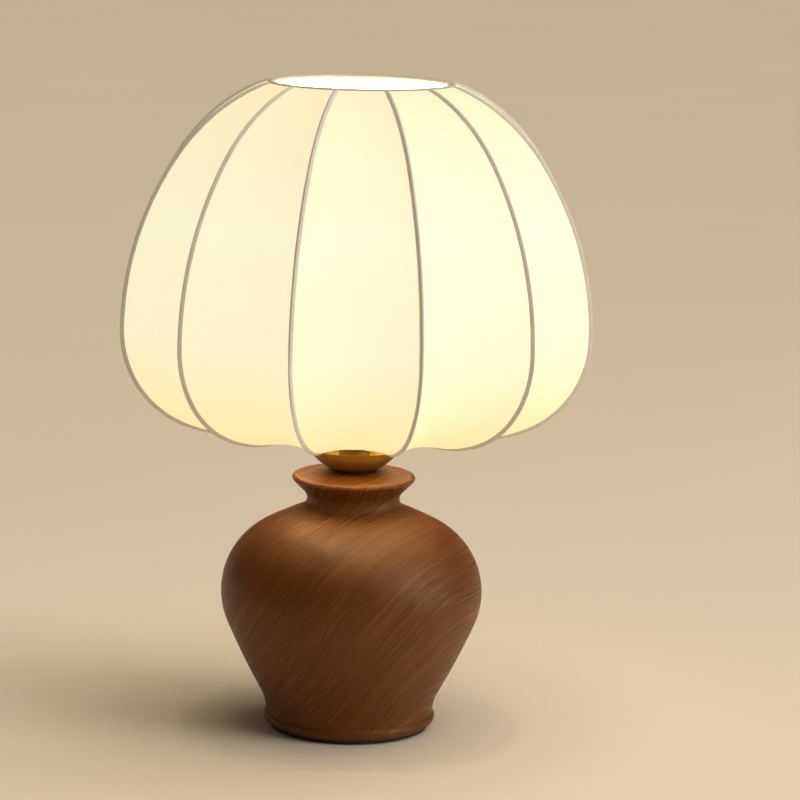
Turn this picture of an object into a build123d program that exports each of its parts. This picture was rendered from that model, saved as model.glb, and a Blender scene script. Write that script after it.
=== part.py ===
from build123d import *
import os
from math import cos, radians, sin, tan

os.makedirs("parts", exist_ok=True)

# Driving dimensions, in millimetres and degrees. The lamp stands on z = 0 with its axis on Z.
# Its front faces -Y and the cord's outlet faces +Y.

# Gap between pieces that only touch, and between a screw or tube and its hole
TOUCH_GAP = 0.05

# Foot pad under the wooden base
PAD_RADIUS = 41.6
PAD_HEIGHT = 1.8
PAD_EDGE_RADIUS = 0.5

# Outline of the turned wooden base, from the foot up: radius, height
FOOT_EDGE = (42.0, PAD_HEIGHT)
FOOT_BEAD_LOW = (44.3, 3.4)
FOOT_BEAD_MID = (45.3, 5.3)
WAIST = (44.2, 8.0)
# Radius and turn of each tangent arc from the waist to the neck and collar; inward turns are positive
BASE_ARCS = ((24.3, -29.1), (400.0, 5.9), (40.4, 85.5), (250.0, 5.0), (4.8, -67.2), (6.0, -45.0))
COLLAR_FLARE = 7.9
COLLAR_LIP_RADIUS = 1.8
COLLAR_LIP_TURN = 129.0
COLLAR_DISH = (22.0, 135.75)
COLLAR_TOP = (13.2, 137.0)

# Hollow under the base, its cover and the ballast in it
RECESS_RADIUS = 30.0
RECESS_TOP = 30.0
PLATE_RADIUS = 36.2
PLATE_THICKNESS = 1.8
PLATE_SCREW_CIRCLE = 33.1
PLATE_SCREW_COUNT = 3
PLATE_SCREW_RADIUS = 1.45
PLATE_SCREW_HEAD = 2.8
PLATE_SCREW_HEAD_DEPTH = 1.35
PLATE_SCREW_LENGTH = 12.0
PLATE_SCREW_SLOT = 0.6
PLATE_SCREW_SLOT_DEPTH = 0.7
# Depth left free past the end of a screw
SCREW_CLEARANCE = 1.0
BALLAST_RADIUS = 29.0
BALLAST_BOTTOM = 15.5
BALLAST_CHAMFER = 1.0

# Threaded tube that clamps the lamp together, M10 x 1, and its nuts
TUBE_RADIUS = 5.0
TUBE_BORE = 3.9
TUBE_BOTTOM = 7.5
TUBE_TOP = 147.2
TUBE_CHAMFER = 0.5
TUBE_HOLE = TUBE_RADIUS + TOUCH_GAP
WASHER_RADIUS = 10.5
WASHER_THICKNESS = 1.5
NUT_ACROSS_FLATS = 17.0
WEIGHT_NUT_HEIGHT = 5.0
CUP_NUT_ACROSS_FLATS = 14.0
CUP_NUT_HEIGHT = 2.8

# Grommet in the back of the foot
GROMMET_HEIGHT = 10.0
GROMMET_BORE = 3.2
GROMMET_SLEEVE = 4.4
GROMMET_FLANGE = 6.6
GROMMET_FLANGE_FACE = 45.4
GROMMET_SEAT = 43.2
GROMMET_EDGE_RADIUS = 0.8

# Neck ring and cup on top of the collar
NECK_RING_RADIUS = 12.2
NECK_RING_HEIGHT = 1.4
NECK_RING_CHAMFER = 0.2
CUP_WALL = 0.8
# The wall's level and upright parts halfway up the cup, where it slants at 45 degrees
CUP_WALL_SLANT = CUP_WALL * cos(radians(45))
CUP_FOOT = 12.4
CUP_MID = (18.5, 142.3)
CUP_RIM = (24.3, 149.2)

# E27 lampholder: cap, skirt, ceramic insert and contacts
HOLDER_BOTTOM = 142.3
HOLDER_ENTRY_RADIUS = 8.0
HOLDER_ENTRY_TOP = 150.0
HOLDER_RADIUS = 18.9
HOLDER_WALL = 1.0
HOLDER_DOME_RADIUS = 12.0
HOLDER_CAP_SHOULDER = 153.4
HOLDER_CAP_TOP = 160.0
SKIRT_BOTTOM = 154.0
SKIRT_TOP = 194.5
SKIRT_BORE = 17.1
SKIRT_LIP_BORE = 15.2
SKIRT_LIP = 1.0
SHOULDER_RADIUS = 22.5
SHOULDER_BOTTOM = 171.0
SHOULDER_TOP = 172.6
SKIRT_THREAD_RADIUS = 19.4
SKIRT_THREAD_TOP = 187.0
SKIRT_EDGE_RADIUS = 0.8
INSERT_RADIUS = 16.9
INSERT_BOTTOM = 155.0
INSERT_FLOOR = 166.0
INSERT_CHAMFER = 4.0
INSERT_BORE = 14.1
SHELL_RADIUS = 13.95
SHELL_BORE = 13.35
SHELL_BOTTOM = 167.2
SHELL_TOP = 192.5
TERMINAL_OFFSET = 9.0
TERMINAL_HEAD_RADIUS = 2.6
TERMINAL_HEAD_HEIGHT = 2.3
TERMINAL_SHANK_RADIUS = 1.45
TERMINAL_LENGTH = 8.0
TERMINAL_SLOT = 0.8
TERMINAL_SLOT_DEPTH = 1.0
CONTACT_WIDTH = 5.0
CONTACT_THICKNESS = 0.6
CONTACT_TOP = 169.6
# Where the leaf starts, bends up, levels out and ends, along X
CONTACT_RUN = (-10.0, -5.0, 2.5, 5.0)

# Shade ring nut that clamps the shade's fitter on the lampholder's shoulder
FITTER_THICKNESS = 1.6
FITTER_BORE = 19.9
FITTER_RADIUS = 27.0
SHADE_RING_BORE = 19.6
SHADE_RING_RADIUS = 25.2
SHADE_RING_COLLAR = 22.4
SHADE_RING_FLANGE = 1.6
SHADE_RING_HEIGHT = 7.0
SHADE_RING_NOTCHES = 24
SHADE_RING_NOTCH_RADIUS = 0.7
SHADE_RING_CHAMFER = 0.4

# A60 bulb with an E27 cap
BULB_BOTTOM = 169.7
BULB_CONTACT_RADIUS = 4.6
BULB_CONTACT_HEIGHT = 1.5
BULB_CONTACT_EDGE_RADIUS = 1.0
INSULATOR_HEIGHT = 2.75
INSULATOR_LOW_RADIUS = 4.8
INSULATOR_HIGH_RADIUS = 9.6
CAP_RADIUS = 13.05
CAP_WALL = 0.5
CAP_CONE_HEIGHT = 3.0
CAP_TOP = 197.0
HOUSING_TOP = 242.0
HOUSING_WALL = 1.2
# Outline of the housing between the cap and the globe: its foot and middle, past the cap's radius
HOUSING_FOOT_STEP = 1.2
HOUSING_MID = (6.6, 17.5)
HOUSING_TANGENTS = ((0.1, 1.0), (0.3, 1.0))
GLOBE_RADIUS = 30.0
GLOBE_CENTRE = 251.0
LED_BOARD_RADIUS = 23.0
LED_BOARD_THICKNESS = 1.6

# Shade: a meridian of tangent arcs, given on the outer face of the tapes over the ribs
RIB_COUNT = 12
RIB_PITCH = 360 / RIB_COUNT
FIRST_RIB = 15.0
MERIDIAN_TOP = (48.0, 341.5)
MERIDIAN_HEADING = -19.3
MERIDIAN_ARCS = ((97.8, 35.5), (160.3, 34.8), (54.7, 66.4), (82.7, 29.4))
TAPE_WIDTH = 3.6
TAPE_THICKNESS = 1.0
TAPE_TRIM = 1.9
FABRIC_THICKNESS = 1.2
FABRIC_GAP = 0.2
FABRIC_TRIM_TOP = 2.5
FABRIC_TRIM_BOTTOM = 2.6
RIB_RADIUS = 1.2
RING_RADIUS = 1.5
HEM_THICKNESS = 0.9
HEM_GAP = 0.1
# Start and size of each hem's arc around its ring; they leave room for the ribs and the arms
TOP_HEM_SPAN = (35, 165)
BOTTOM_HEM_SPAN = (225, 72)
ARM_COUNT = 3
ARM_RADIUS = 1.6
ARM_FIRST = 90.0
ARM_BEND = 9.0
ARM_LEVEL_END = 37.0
# How far each arm starts inside the fitter's rim, before it is trimmed to the rim
ARM_OVERLAP = 1.0

# Longer than a panel is wide
PANEL_REACH = 80.0

FABRIC_INSET = TAPE_THICKNESS + TOUCH_GAP
HALF_PITCH = radians(RIB_PITCH / 2)
RIB_INSET = FABRIC_INSET + (FABRIC_THICKNESS + RIB_RADIUS + TOUCH_GAP) / cos(HALF_PITCH)


def save(part, name):
    """Labels a finished piece and writes its STEP file."""
    part.label = name
    export_step(part, f"parts/{name}.step")


def radial_plane(azimuth):
    """The upright plane through the lamp's axis: x is the radius and y is the height."""
    across, along = cos(radians(azimuth)), sin(radians(azimuth))
    return Plane(origin=(0, 0, 0), x_dir=(across, along, 0), z_dir=(along, -across, 0))


def draw_meridian(inset, top_trim=0.0, bottom_trim=0.0):
    """Draws the shade's meridian in the open BuildLine, from the top ring down to the bottom ring.

    inset is the distance in from the tapes' outer face, and the trims shorten the first and last
    arcs by so many degrees. The ends of the line are returned."""
    last = len(MERIDIAN_ARCS) - 1
    first_radius = MERIDIAN_ARCS[0][0]
    top = radians(MERIDIAN_HEADING)
    heading = radians(MERIDIAN_HEADING - top_trim)
    centre_r = MERIDIAN_TOP[0] + first_radius * sin(top)
    centre_z = MERIDIAN_TOP[1] - first_radius * cos(top)
    start = (
        centre_r - (first_radius - inset) * sin(heading),
        centre_z + (first_radius - inset) * cos(heading),
    )
    tangent = (cos(heading), sin(heading))
    arcs = []
    for number, (radius, turn) in enumerate(MERIDIAN_ARCS):
        turn -= top_trim if number == 0 else 0
        turn -= bottom_trim if number == last else 0
        arcs.append(JernArc(start, tangent, radius - inset, -turn))
        start, tangent = arcs[-1] @ 1, arcs[-1] % 1
    return arcs[0] @ 0, arcs[-1] @ 1


def draw_strip(outer_inset, inner_inset, top_trim, bottom_trim):
    """Draws the closed outline of a strip along the meridian, between two insets."""
    outer_top, outer_bottom = draw_meridian(outer_inset, top_trim, bottom_trim)
    inner_top, inner_bottom = draw_meridian(inner_inset, top_trim, bottom_trim)
    Line(outer_top, inner_top)
    Line(outer_bottom, inner_bottom)


def draw_ring_sector(centre, inner, outer, start, size):
    """Draws the closed outline of a sector of a flat ring."""
    low = CenterArc(centre, inner, start, size)
    high = CenterArc(centre, outer, start, size)
    Line(low @ 0, high @ 0)
    Line(low @ 1, high @ 1)


# Base: turned wood, open underneath, bored for the threaded tube and the cord
with BuildPart() as base_body:
    with BuildSketch(Plane.XZ):
        with BuildLine():
            Polyline((0, PAD_HEIGHT), FOOT_EDGE, FOOT_BEAD_LOW)
            ThreePointArc(FOOT_BEAD_LOW, FOOT_BEAD_MID, WAIST)
            end, tangent = WAIST, (0, 1)
            for radius, turn in BASE_ARCS:
                arc = JernArc(end, tangent, radius, turn)
                end, tangent = arc @ 1, arc % 1
            flare = Line(end, end + tangent * COLLAR_FLARE)
            lip = JernArc(flare @ 1, flare % 1, COLLAR_LIP_RADIUS, COLLAR_LIP_TURN)
            ThreePointArc(lip @ 1, COLLAR_DISH, COLLAR_TOP)
            Polyline(COLLAR_TOP, (0, COLLAR_TOP[1]), (0, PAD_HEIGHT))
        make_face()
    revolve(axis=Axis.Z)
    with BuildSketch(Plane.XY.offset(PAD_HEIGHT)):
        Circle(PLATE_RADIUS + TOUCH_GAP)
    extrude(amount=PLATE_THICKNESS + 2 * TOUCH_GAP, mode=Mode.SUBTRACT)
    with BuildSketch(Plane.XY.offset(PAD_HEIGHT)):
        Circle(RECESS_RADIUS)
    extrude(amount=RECESS_TOP - PAD_HEIGHT, mode=Mode.SUBTRACT)
    with BuildSketch(Plane.XY.offset(PAD_HEIGHT)):
        with PolarLocations(PLATE_SCREW_CIRCLE, PLATE_SCREW_COUNT):
            Circle(PLATE_SCREW_RADIUS + TOUCH_GAP)
    extrude(amount=PLATE_SCREW_LENGTH + SCREW_CLEARANCE, mode=Mode.SUBTRACT)
    with BuildSketch(Plane.XY):
        Circle(TUBE_HOLE)
    extrude(amount=COLLAR_TOP[1], mode=Mode.SUBTRACT)
    with BuildSketch(Plane((0, GROMMET_SEAT, GROMMET_HEIGHT), z_dir=(0, 1, 0))):
        Circle(GROMMET_FLANGE + TOUCH_GAP)
    extrude(amount=GROMMET_FLANGE, mode=Mode.SUBTRACT)
    with BuildSketch(Plane((0, 0, GROMMET_HEIGHT), z_dir=(0, 1, 0))):
        Circle(GROMMET_SLEEVE + TOUCH_GAP)
    extrude(amount=GROMMET_FLANGE_FACE, mode=Mode.SUBTRACT)
save(base_body.part, "base_body")

# Soft black pad glued under the foot
with BuildPart() as foot_pad:
    with BuildSketch():
        Circle(PAD_RADIUS)
    extrude(amount=PAD_HEIGHT)
    fillet(foot_pad.edges().group_by(Axis.Z)[0], radius=PAD_EDGE_RADIUS)
save(foot_pad.part, "foot_pad")

# Steel cover plate over the hollow, flush with the wood and countersunk for its screws
plate_bottom = PAD_HEIGHT + TOUCH_GAP
with BuildPart() as bottom_plate:
    with BuildSketch(Plane.XY.offset(plate_bottom)):
        Circle(PLATE_RADIUS)
    extrude(amount=PLATE_THICKNESS)
    with Locations(Location((0, 0, plate_bottom), (180, 0, 0))):
        with PolarLocations(PLATE_SCREW_CIRCLE, PLATE_SCREW_COUNT):
            CounterSinkHole(
                radius=PLATE_SCREW_RADIUS + TOUCH_GAP,
                counter_sink_radius=PLATE_SCREW_HEAD + TOUCH_GAP,
                counter_sink_angle=90,
            )
save(bottom_plate.part, "bottom_plate")

# Countersunk screws that hold the cover plate
with BuildPart() as bottom_plate_screws:
    with BuildSketch(Plane.XY.offset(plate_bottom)):
        with PolarLocations(PLATE_SCREW_CIRCLE, PLATE_SCREW_COUNT):
            Circle(PLATE_SCREW_RADIUS)
    extrude(amount=PLATE_SCREW_LENGTH)
    with Locations(Plane.XY.offset(plate_bottom + PLATE_SCREW_HEAD_DEPTH / 2)):
        with PolarLocations(PLATE_SCREW_CIRCLE, PLATE_SCREW_COUNT):
            Cone(PLATE_SCREW_HEAD, PLATE_SCREW_RADIUS, PLATE_SCREW_HEAD_DEPTH)
    with BuildSketch(Plane.XY.offset(plate_bottom)):
        with PolarLocations(PLATE_SCREW_CIRCLE, PLATE_SCREW_COUNT):
            Rectangle(PLATE_SCREW_HEAD, PLATE_SCREW_SLOT)
            Rectangle(PLATE_SCREW_SLOT, PLATE_SCREW_HEAD)
    extrude(amount=PLATE_SCREW_SLOT_DEPTH, mode=Mode.SUBTRACT)
save(bottom_plate_screws.part, "bottom_plate_screws")

# Cast-iron ballast, clamped under the wood by the tube's lower nut
with BuildPart() as ballast_weight:
    with BuildSketch(Plane.XY.offset(BALLAST_BOTTOM)):
        Circle(BALLAST_RADIUS)
        Circle(TUBE_HOLE, mode=Mode.SUBTRACT)
    extrude(amount=RECESS_TOP - TOUCH_GAP - BALLAST_BOTTOM)
    ballast_rims = ballast_weight.edges().filter_by(GeomType.CIRCLE).sort_by(SortBy.RADIUS)[-2:]
    chamfer(ballast_rims, length=BALLAST_CHAMFER)
save(ballast_weight.part, "ballast_weight")

washer_bottom = BALLAST_BOTTOM - TOUCH_GAP - WASHER_THICKNESS
with BuildPart() as weight_washer:
    with BuildSketch(Plane.XY.offset(washer_bottom)):
        Circle(WASHER_RADIUS)
        Circle(TUBE_HOLE, mode=Mode.SUBTRACT)
    extrude(amount=WASHER_THICKNESS)
save(weight_washer.part, "weight_washer")

# Lower hexagon nut of the threaded tube
with BuildPart() as weight_nut:
    with BuildSketch(Plane.XY.offset(washer_bottom - TOUCH_GAP - WEIGHT_NUT_HEIGHT)):
        RegularPolygon(NUT_ACROSS_FLATS / 2, 6, major_radius=False)
        Circle(TUBE_HOLE, mode=Mode.SUBTRACT)
    extrude(amount=WEIGHT_NUT_HEIGHT)
save(weight_nut.part, "weight_nut")

# Hollow threaded tube on the axis, from the lower nut to the lampholder
with BuildPart() as threaded_tube:
    with BuildSketch(Plane.XY.offset(TUBE_BOTTOM)):
        Circle(TUBE_RADIUS)
        Circle(TUBE_BORE, mode=Mode.SUBTRACT)
    extrude(amount=TUBE_TOP - TUBE_BOTTOM)
    tube_ends = threaded_tube.edges().filter_by(GeomType.CIRCLE).group_by(SortBy.RADIUS)[-1]
    chamfer(tube_ends, length=TUBE_CHAMFER)
save(threaded_tube.part, "threaded_tube")

# Rubber grommet where the cord leaves the back of the foot
with BuildPart() as cord_grommet:
    with BuildSketch(Plane((0, RECESS_RADIUS, GROMMET_HEIGHT), z_dir=(0, 1, 0))):
        Circle(GROMMET_SLEEVE)
    extrude(amount=GROMMET_FLANGE_FACE - RECESS_RADIUS)
    with BuildSketch(Plane((0, GROMMET_SEAT + TOUCH_GAP, GROMMET_HEIGHT), z_dir=(0, 1, 0))):
        Circle(GROMMET_FLANGE)
    extrude(amount=GROMMET_FLANGE_FACE - GROMMET_SEAT - TOUCH_GAP)
    flange_rim = cord_grommet.edges().filter_by(GeomType.CIRCLE).sort_by(Axis.Y)[-1:]
    fillet(flange_rim, radius=GROMMET_EDGE_RADIUS)
    with BuildSketch(Plane((0, RECESS_RADIUS, GROMMET_HEIGHT), z_dir=(0, 1, 0))):
        Circle(GROMMET_BORE)
    extrude(amount=GROMMET_FLANGE_FACE - RECESS_RADIUS, mode=Mode.SUBTRACT)
save(cord_grommet.part, "cord_grommet")

# Dark ring between the collar and the cup
neck_ring_bottom = COLLAR_TOP[1] + TOUCH_GAP
with BuildPart() as neck_ring:
    with BuildSketch(Plane.XY.offset(neck_ring_bottom)):
        Circle(NECK_RING_RADIUS)
        Circle(TUBE_HOLE, mode=Mode.SUBTRACT)
    extrude(amount=NECK_RING_HEIGHT)
    ring_rims = neck_ring.edges().filter_by(GeomType.CIRCLE).group_by(SortBy.RADIUS)[-1]
    chamfer(ring_rims, length=NECK_RING_CHAMFER)
save(neck_ring.part, "neck_ring")

# Spun brass cup that stands on the neck ring
cup_bottom = neck_ring_bottom + NECK_RING_HEIGHT + TOUCH_GAP
cup_floor = cup_bottom + CUP_WALL
with BuildPart() as brass_cup:
    with BuildSketch(Plane.XZ):
        with BuildLine():
            ThreePointArc((CUP_FOOT, cup_bottom), CUP_MID, CUP_RIM)
            Line(CUP_RIM, (CUP_RIM[0] - CUP_WALL, CUP_RIM[1]))
            ThreePointArc(
                (CUP_RIM[0] - CUP_WALL, CUP_RIM[1]),
                (CUP_MID[0] - CUP_WALL_SLANT, CUP_MID[1] + CUP_WALL_SLANT),
                (CUP_FOOT - CUP_WALL / 2, cup_floor),
            )
            Polyline(
                (CUP_FOOT - CUP_WALL / 2, cup_floor),
                (TUBE_HOLE, cup_floor),
                (TUBE_HOLE, cup_bottom),
                (CUP_FOOT, cup_bottom),
            )
        make_face()
    revolve(axis=Axis.Z)
save(brass_cup.part, "brass_cup")

# Thin nut that clamps the cup and the neck ring on the collar
with BuildPart() as cup_nut:
    with BuildSketch(Plane.XY.offset(cup_floor + TOUCH_GAP)):
        RegularPolygon(CUP_NUT_ACROSS_FLATS / 2, 6, major_radius=False)
        Circle(TUBE_HOLE, mode=Mode.SUBTRACT)
    extrude(amount=CUP_NUT_HEIGHT)
save(cup_nut.part, "cup_nut")

# Lampholder cap: a brass dome screwed on the tube
with BuildPart() as holder_cap:
    with BuildSketch(Plane.XZ):
        with BuildLine():
            Polyline(
                (TUBE_HOLE, HOLDER_BOTTOM),
                (HOLDER_ENTRY_RADIUS, HOLDER_BOTTOM),
                (HOLDER_ENTRY_RADIUS, HOLDER_ENTRY_TOP - HOLDER_WALL),
            )
            outer_dome = RadiusArc(
                (HOLDER_ENTRY_RADIUS, HOLDER_ENTRY_TOP - HOLDER_WALL),
                (HOLDER_RADIUS, HOLDER_CAP_SHOULDER),
                -HOLDER_DOME_RADIUS,
            )
            inner_dome = RadiusArc(
                (HOLDER_ENTRY_RADIUS, HOLDER_ENTRY_TOP),
                (HOLDER_RADIUS - HOLDER_WALL, HOLDER_CAP_SHOULDER),
                HOLDER_WALL - HOLDER_DOME_RADIUS,
            )
            Polyline(
                outer_dome @ 1,
                (HOLDER_RADIUS, HOLDER_CAP_TOP),
                (HOLDER_RADIUS - HOLDER_WALL, HOLDER_CAP_TOP),
                inner_dome @ 1,
            )
            Polyline(
                inner_dome @ 0,
                (TUBE_HOLE, HOLDER_ENTRY_TOP),
                (TUBE_HOLE, HOLDER_BOTTOM),
            )
        make_face()
    revolve(axis=Axis.Z)
save(holder_cap.part, "holder_cap")

# Lampholder skirt: a brass tube with a shoulder, a thread for the shade ring and a turned-in lip
skirt_inner_radius = HOLDER_RADIUS - HOLDER_WALL - TOUCH_GAP
with BuildPart() as holder_skirt:
    with BuildSketch(Plane.XZ):
        with BuildLine():
            Polyline(
                (SKIRT_BORE, SKIRT_BOTTOM),
                (skirt_inner_radius, SKIRT_BOTTOM),
                (skirt_inner_radius, HOLDER_CAP_TOP + TOUCH_GAP),
                (HOLDER_RADIUS, HOLDER_CAP_TOP + TOUCH_GAP),
                (HOLDER_RADIUS, SHOULDER_BOTTOM),
                (SHOULDER_RADIUS, SHOULDER_BOTTOM),
                (SHOULDER_RADIUS, SHOULDER_TOP),
                (SKIRT_THREAD_RADIUS, SHOULDER_TOP),
                (SKIRT_THREAD_RADIUS, SKIRT_THREAD_TOP),
                (HOLDER_RADIUS - HOLDER_WALL / 2, SKIRT_THREAD_TOP),
                (HOLDER_RADIUS - HOLDER_WALL / 2, SKIRT_TOP),
                (SKIRT_LIP_BORE, SKIRT_TOP),
                (SKIRT_LIP_BORE, SKIRT_TOP - SKIRT_LIP),
                (SKIRT_BORE, SKIRT_TOP - SKIRT_LIP),
                close=True,
            )
        make_face()
    revolve(axis=Axis.Z)
    skirt_rim = holder_skirt.edges().filter_by(GeomType.CIRCLE).group_by(Axis.Z)[-1][-1:]
    fillet(skirt_rim, radius=SKIRT_EDGE_RADIUS)
save(holder_skirt.part, "holder_skirt")

# Ceramic insert: a thick floor that carries the contacts, and a sleeve around the screw shell
with BuildPart() as holder_insert:
    with BuildSketch(Plane.XY.offset(INSERT_BOTTOM)):
        Circle(INSERT_RADIUS)
    extrude(amount=SKIRT_TOP - SKIRT_LIP - TOUCH_GAP - INSERT_BOTTOM)
    chamfer(holder_insert.edges().group_by(Axis.Z)[0], length=INSERT_CHAMFER)
    with BuildSketch(Plane.XY.offset(INSERT_FLOOR)):
        Circle(INSERT_BORE)
    extrude(amount=SKIRT_TOP - INSERT_FLOOR, mode=Mode.SUBTRACT)
    with BuildSketch(Plane.XY.offset(INSERT_BOTTOM)):
        with Locations((-TERMINAL_OFFSET, 0), (TERMINAL_OFFSET, 0)):
            Circle(TERMINAL_SHANK_RADIUS + TOUCH_GAP)
    extrude(amount=TERMINAL_LENGTH + SCREW_CLEARANCE, mode=Mode.SUBTRACT)
save(holder_insert.part, "holder_insert")

# Two terminal screws under the insert
with BuildPart() as terminal_screws:
    with BuildSketch(Plane.XY.offset(INSERT_BOTTOM - TOUCH_GAP - TERMINAL_HEAD_HEIGHT)):
        with Locations((-TERMINAL_OFFSET, 0), (TERMINAL_OFFSET, 0)):
            Circle(TERMINAL_HEAD_RADIUS)
    extrude(amount=TERMINAL_HEAD_HEIGHT)
    with BuildSketch(Plane.XY.offset(INSERT_BOTTOM - TOUCH_GAP)):
        with Locations((-TERMINAL_OFFSET, 0), (TERMINAL_OFFSET, 0)):
            Circle(TERMINAL_SHANK_RADIUS)
    extrude(amount=TERMINAL_LENGTH)
    with BuildSketch(Plane.XY.offset(INSERT_BOTTOM - TOUCH_GAP - TERMINAL_HEAD_HEIGHT)):
        with Locations((-TERMINAL_OFFSET, 0), (TERMINAL_OFFSET, 0)):
            Rectangle(2 * TERMINAL_HEAD_RADIUS, TERMINAL_SLOT)
    extrude(amount=TERMINAL_SLOT_DEPTH, mode=Mode.SUBTRACT)
save(terminal_screws.part, "terminal_screws")

# Sprung brass leaf that touches the bulb's centre contact
leaf_floor = INSERT_FLOOR + TOUCH_GAP
leaf_start, leaf_rise, leaf_crest, leaf_end = CONTACT_RUN
with BuildPart() as centre_contact:
    with BuildSketch(Plane.XZ.offset(-CONTACT_WIDTH / 2)):
        with BuildLine():
            Polyline(
                (leaf_start, leaf_floor),
                (leaf_rise, leaf_floor),
                (leaf_crest, CONTACT_TOP - CONTACT_THICKNESS),
                (leaf_end, CONTACT_TOP - CONTACT_THICKNESS),
                (leaf_end, CONTACT_TOP),
                (leaf_crest, CONTACT_TOP),
                (leaf_rise, leaf_floor + CONTACT_THICKNESS),
                (leaf_start, leaf_floor + CONTACT_THICKNESS),
                close=True,
            )
        make_face()
    extrude(amount=CONTACT_WIDTH)
save(centre_contact.part, "centre_contact")

# Screw shell that takes the bulb's cap; its thread is left plain
with BuildPart() as screw_shell:
    with BuildSketch(Plane.XY.offset(SHELL_BOTTOM)):
        Circle(SHELL_RADIUS)
        Circle(SHELL_BORE, mode=Mode.SUBTRACT)
    extrude(amount=SHELL_TOP - SHELL_BOTTOM)
save(screw_shell.part, "screw_shell")

# Notched ring nut that holds the shade's fitter down
fitter_bottom = SHOULDER_TOP + TOUCH_GAP
shade_ring_bottom = fitter_bottom + FITTER_THICKNESS + TOUCH_GAP
with BuildPart() as shade_ring:
    with BuildSketch(Plane.XY.offset(shade_ring_bottom)):
        Circle(SHADE_RING_RADIUS)
        with PolarLocations(SHADE_RING_RADIUS, SHADE_RING_NOTCHES):
            Circle(SHADE_RING_NOTCH_RADIUS, mode=Mode.SUBTRACT)
    extrude(amount=SHADE_RING_FLANGE)
    with BuildSketch(Plane.XY.offset(shade_ring_bottom)):
        Circle(SHADE_RING_COLLAR)
    extrude(amount=SHADE_RING_HEIGHT)
    with BuildSketch(Plane.XY.offset(shade_ring_bottom)):
        Circle(SHADE_RING_BORE)
    extrude(amount=SHADE_RING_HEIGHT, mode=Mode.SUBTRACT)
    chamfer(shade_ring.edges().group_by(Axis.Z)[-1], length=SHADE_RING_CHAMFER)
save(shade_ring.part, "shade_ring")

# Bulb: solder contact, glass insulator, screw cap, housing, LED board and globe
insulator_bottom = BULB_BOTTOM + BULB_CONTACT_HEIGHT + TOUCH_GAP
cap_bottom = insulator_bottom + INSULATOR_HEIGHT + TOUCH_GAP
with BuildPart() as bulb_contact:
    with BuildSketch(Plane.XY.offset(BULB_BOTTOM)):
        Circle(BULB_CONTACT_RADIUS)
    extrude(amount=BULB_CONTACT_HEIGHT)
    fillet(bulb_contact.edges().group_by(Axis.Z)[0], radius=BULB_CONTACT_EDGE_RADIUS)
save(bulb_contact.part, "bulb_contact")

with BuildPart() as bulb_insulator:
    with BuildSketch(Plane.XZ):
        Polygon(
            (0, insulator_bottom),
            (INSULATOR_LOW_RADIUS, insulator_bottom),
            (INSULATOR_HIGH_RADIUS, insulator_bottom + INSULATOR_HEIGHT),
            (0, insulator_bottom + INSULATOR_HEIGHT),
            align=None,
        )
    revolve(axis=Axis.Z)
save(bulb_insulator.part, "bulb_insulator")

with BuildPart() as bulb_cap:
    with BuildSketch(Plane.XZ):
        Polygon(
            (0, cap_bottom),
            (INSULATOR_HIGH_RADIUS, cap_bottom),
            (CAP_RADIUS, cap_bottom + CAP_CONE_HEIGHT),
            (CAP_RADIUS, CAP_TOP),
            (CAP_RADIUS - CAP_WALL, CAP_TOP),
            (CAP_RADIUS - CAP_WALL, cap_bottom + CAP_CONE_HEIGHT),
            (INSULATOR_HIGH_RADIUS - CAP_WALL, cap_bottom + CAP_WALL),
            (0, cap_bottom + CAP_WALL),
            align=None,
        )
    revolve(axis=Axis.Z)
save(bulb_cap.part, "bulb_cap")

housing_bottom = CAP_TOP + TOUCH_GAP
globe_joint_radius = (GLOBE_RADIUS**2 - (GLOBE_CENTRE - HOUSING_TOP) ** 2) ** 0.5
with BuildPart() as bulb_housing:
    with BuildSketch(Plane.XZ):
        with BuildLine():
            outside = Spline(
                (CAP_RADIUS + HOUSING_FOOT_STEP, housing_bottom),
                (CAP_RADIUS + HOUSING_MID[0], housing_bottom + HOUSING_MID[1]),
                (globe_joint_radius, HOUSING_TOP),
                tangents=HOUSING_TANGENTS,
            )
            inside = Spline(
                (CAP_RADIUS + HOUSING_FOOT_STEP - HOUSING_WALL, housing_bottom),
                (CAP_RADIUS + HOUSING_MID[0] - HOUSING_WALL, housing_bottom + HOUSING_MID[1]),
                (globe_joint_radius - HOUSING_WALL, HOUSING_TOP),
                tangents=HOUSING_TANGENTS,
            )
            Line(outside @ 0, inside @ 0)
            Line(outside @ 1, inside @ 1)
        make_face()
    revolve(axis=Axis.Z)
save(bulb_housing.part, "bulb_housing")

with BuildPart() as bulb_led_board:
    with BuildSketch(Plane.XY.offset(HOUSING_TOP - LED_BOARD_THICKNESS)):
        Circle(LED_BOARD_RADIUS)
    extrude(amount=LED_BOARD_THICKNESS)
save(bulb_led_board.part, "bulb_led_board")

globe_joint = HOUSING_TOP + TOUCH_GAP
with BuildPart() as bulb_globe:
    with Locations((0, 0, GLOBE_CENTRE)):
        Sphere(GLOBE_RADIUS)
        Sphere(GLOBE_RADIUS - HOUSING_WALL, mode=Mode.SUBTRACT)
    split(bisect_by=Plane.XY.offset(globe_joint), keep=Keep.TOP)
save(bulb_globe.part, "bulb_globe")

# Ends of the line on which the shade's wires lie
with BuildLine(Plane.XZ) as wire_line:
    draw_meridian(RIB_INSET)
top_ring_centre = wire_line.wire() @ 0
bottom_ring_centre = wire_line.wire() @ 1

# Wire rings at the top and bottom of the shade frame
with BuildPart() as top_ring:
    with BuildSketch(Plane.XZ):
        with Locations((top_ring_centre.X, top_ring_centre.Z)):
            Circle(RING_RADIUS)
    revolve(axis=Axis.Z)
save(top_ring.part, "top_ring")

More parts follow.
